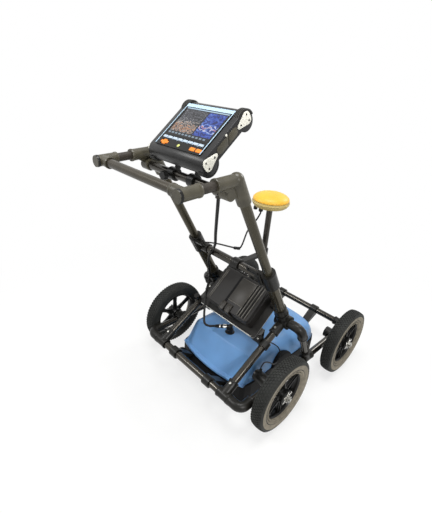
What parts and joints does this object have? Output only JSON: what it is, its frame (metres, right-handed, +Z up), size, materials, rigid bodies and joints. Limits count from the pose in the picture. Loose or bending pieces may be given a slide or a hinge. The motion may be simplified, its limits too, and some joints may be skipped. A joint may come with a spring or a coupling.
{
  "type": "ground penetrating radar cart",
  "caption": "Four-wheeled push cart with a hung ground radar sensor, a battery case on a sloped shelf, a positioning antenna and a tilting console on a telescoping handle",
  "frame": {"origin": "on the ground, under the middle of the cart's box", "axes": "+X to the operator's right, +Y forward, +Z up"},
  "size_m": [0.746, 1.0372, 1.1473],
  "materials": {
    "frame_tube": "black powder-coated tube",
    "fitting": "dark olive moulded plastic",
    "grip": "dark brown-black grip",
    "tyre": "dark grey tyre with a taupe side band",
    "rim": "black glass-filled nylon",
    "steel": "zinc-plated steel",
    "chrome": "nickel-plated connector",
    "sensor_blue": "light blue moulded polyethylene",
    "black_plastic": "black moulded plastic",
    "board": "green circuit board",
    "cable": "black cable jacket",
    "radome": "warm yellow moulded cover",
    "antenna_rim": "dull yellow base",
    "shelf": "grey plate",
    "case": "brown-black ribbed case",
    "battery": "grey battery",
    "bumper": "black ribbed rubber",
    "end_plate": "off-white plate",
    "glass": "lit display window",
    "key_orange": "orange rubber key",
    "key_pale": "pale printed key strip",
    "key_lime": "yellow-green key"
  },
  "bodies": {
    "cart_frame": {"cross_bars": "frame_tube", "side_rails": "frame_tube", "frame_fittings": "fitting", "struts": "frame_tube", "apex_fittings": "fitting", "leg_sleeves": "fitting", "leg_clamps": "fitting", "crossbar": "frame_tube", "axle_blocks": "fitting", "axle_hardware": "steel", "odometer_encoder": "black_plastic", "odometer_cable": "cable", "sensor_hangers": "fitting", "sensor_base": "black_plastic", "sensor_shell": "sensor_blue", "antenna_boards": "board", "cable_plug": "chrome", "main_cable": "cable", "gps_arm": "fitting", "gps_post": "frame_tube", "antenna_base": "antenna_rim", "antenna_dome": "radome", "gps_cable": "cable", "shelf_plate": "shelf", "shelf_clamps": "fitting", "case_base": "case", "battery_pack": "battery"},
    "handle": {"leg_tubes": "frame_tube", "handle_elbows": "fitting", "arm_grips": "grip", "handle_tees": "fitting", "handlebar": "grip", "console_bar": "frame_tube"},
    "console": {"console_bracket": "black_plastic", "console_shell": "black_plastic", "console_bezel": "black_plastic", "screen_glass": "glass", "corner_bumpers": "bumper", "end_plates": "end_plate", "soft_keys": "key_pale"},
    "rear_left_wheel": {"rear_left_tyre": "tyre", "rear_left_rim": "rim"},
    "rear_right_wheel": {"rear_right_tyre": "tyre", "rear_right_rim": "rim"},
    "front_left_wheel": {"front_left_tyre": "tyre", "front_left_rim": "rim"},
    "front_right_wheel": {"front_right_tyre": "tyre", "front_right_rim": "rim"},
    "case_lid_body": {"case_lid": "case"},
    "case_latch_body": {"case_latch": "case"},
    "case_handle_body": {"case_handle": "case"},
    "left_clamp_lever_body": {"left_clamp_lever": "black_plastic"},
    "right_clamp_lever_body": {"right_clamp_lever": "black_plastic"},
    "upper_shelf_knob_body": {"upper_shelf_knob": "black_plastic"},
    "lower_shelf_knob_body": {"lower_shelf_knob": "black_plastic"},
    "tilt_knob_body": {"tilt_knob": "black_plastic"},
    "arrow_pad_body": {"arrow_pad": "key_orange"},
    "left_function_key_body": {"left_function_key": "key_orange"},
    "right_function_key_body": {"right_function_key": "key_orange"},
    "power_key_body": {"power_key": "key_lime"}
  },
  "joints": [
    {"name": "rear_left_spin", "type": "hinge", "parent": "cart_frame", "child": "rear_left_wheel", "pos_m": [-0.33, -0.10644, 0.155], "axis": [1, 0, 0], "continuous": true},
    {"name": "rear_right_spin", "type": "hinge", "parent": "cart_frame", "child": "rear_right_wheel", "pos_m": [0.33, -0.10644, 0.155], "axis": [1, 0, 0], "continuous": true},
    {"name": "front_left_spin", "type": "hinge", "parent": "cart_frame", "child": "front_left_wheel", "pos_m": [-0.33, 0.36356, 0.155], "axis": [1, 0, 0], "continuous": true},
    {"name": "front_right_spin", "type": "hinge", "parent": "cart_frame", "child": "front_right_wheel", "pos_m": [0.33, 0.36356, 0.155], "axis": [1, 0, 0], "continuous": true},
    {"name": "handle_slide", "type": "slide", "parent": "cart_frame", "child": "handle", "axis": [0, -0.5, 0.866], "range_m": [-0.06, 0.1], "deforming": ["main_cable"]},
    {"name": "console_tilt", "type": "hinge", "parent": "handle", "child": "console", "pos_m": [0, -0.33994, 0.94307], "axis": [1, 0, 0], "range_deg": [-30, 10]},
    {"name": "tilt_knob_turn", "type": "hinge", "parent": "console", "child": "tilt_knob_body", "pos_m": [-0.046, -0.35994, 0.94307], "axis": [0, -1, 0], "continuous": true},
    {"name": "left_clamp_lever_swing", "type": "hinge", "parent": "cart_frame", "child": "left_clamp_lever_body", "pos_m": [-0.168, -0.13822, 0.61632], "axis": [0, -0.5, 0.866], "range_deg": [-95, 0]},
    {"name": "right_clamp_lever_swing", "type": "hinge", "parent": "cart_frame", "child": "right_clamp_lever_body", "pos_m": [0.168, -0.13822, 0.61632], "axis": [0, -0.5, 0.866], "range_deg": [0, 95]},
    {"name": "upper_shelf_knob_turn", "type": "hinge", "parent": "cart_frame", "child": "upper_shelf_knob_body", "pos_m": [-0.192, -0.01646, 0.40142], "axis": [0, -0.866, -0.5], "continuous": true},
    {"name": "lower_shelf_knob_turn", "type": "hinge", "parent": "cart_frame", "child": "lower_shelf_knob_body", "pos_m": [-0.192, -0.06644, 0.27997], "axis": [0, -0.5078, 0.8615], "continuous": true},
    {"name": "case_lid_hinge", "type": "hinge", "parent": "cart_frame", "child": "case_lid_body", "pos_m": [0.012, 0.02864, 0.4652], "axis": [-1, 0, 0], "range_deg": [0, 55]},
    {"name": "case_latch_hinge", "type": "hinge", "parent": "cart_frame", "child": "case_latch_body", "pos_m": [0.012, -0.09571, 0.33475], "axis": [1, 0, 0], "range_deg": [0, 90]},
    {"name": "case_handle_hinge", "type": "hinge", "parent": "cart_frame", "child": "case_handle_body", "pos_m": [0.012, 0.04124, 0.44706], "axis": [1, 0, 0], "range_deg": [0, 45]},
    {"name": "arrow_pad_press", "type": "slide", "parent": "console", "child": "arrow_pad_body", "axis": [0, 0.6428, -0.766], "range_m": [0, 0.001], "stiffness_N_per_m": 900},
    {"name": "left_function_key_press", "type": "slide", "parent": "console", "child": "left_function_key_body", "axis": [0, 0.6428, -0.766], "range_m": [0, 0.001], "stiffness_N_per_m": 900},
    {"name": "right_function_key_press", "type": "slide", "parent": "console", "child": "right_function_key_body", "axis": [0, 0.6428, -0.766], "range_m": [0, 0.001], "stiffness_N_per_m": 900},
    {"name": "power_key_press", "type": "slide", "parent": "console", "child": "power_key_body", "axis": [0, 0.6428, -0.766], "range_m": [0, 0.001], "stiffness_N_per_m": 900}
  ]
}
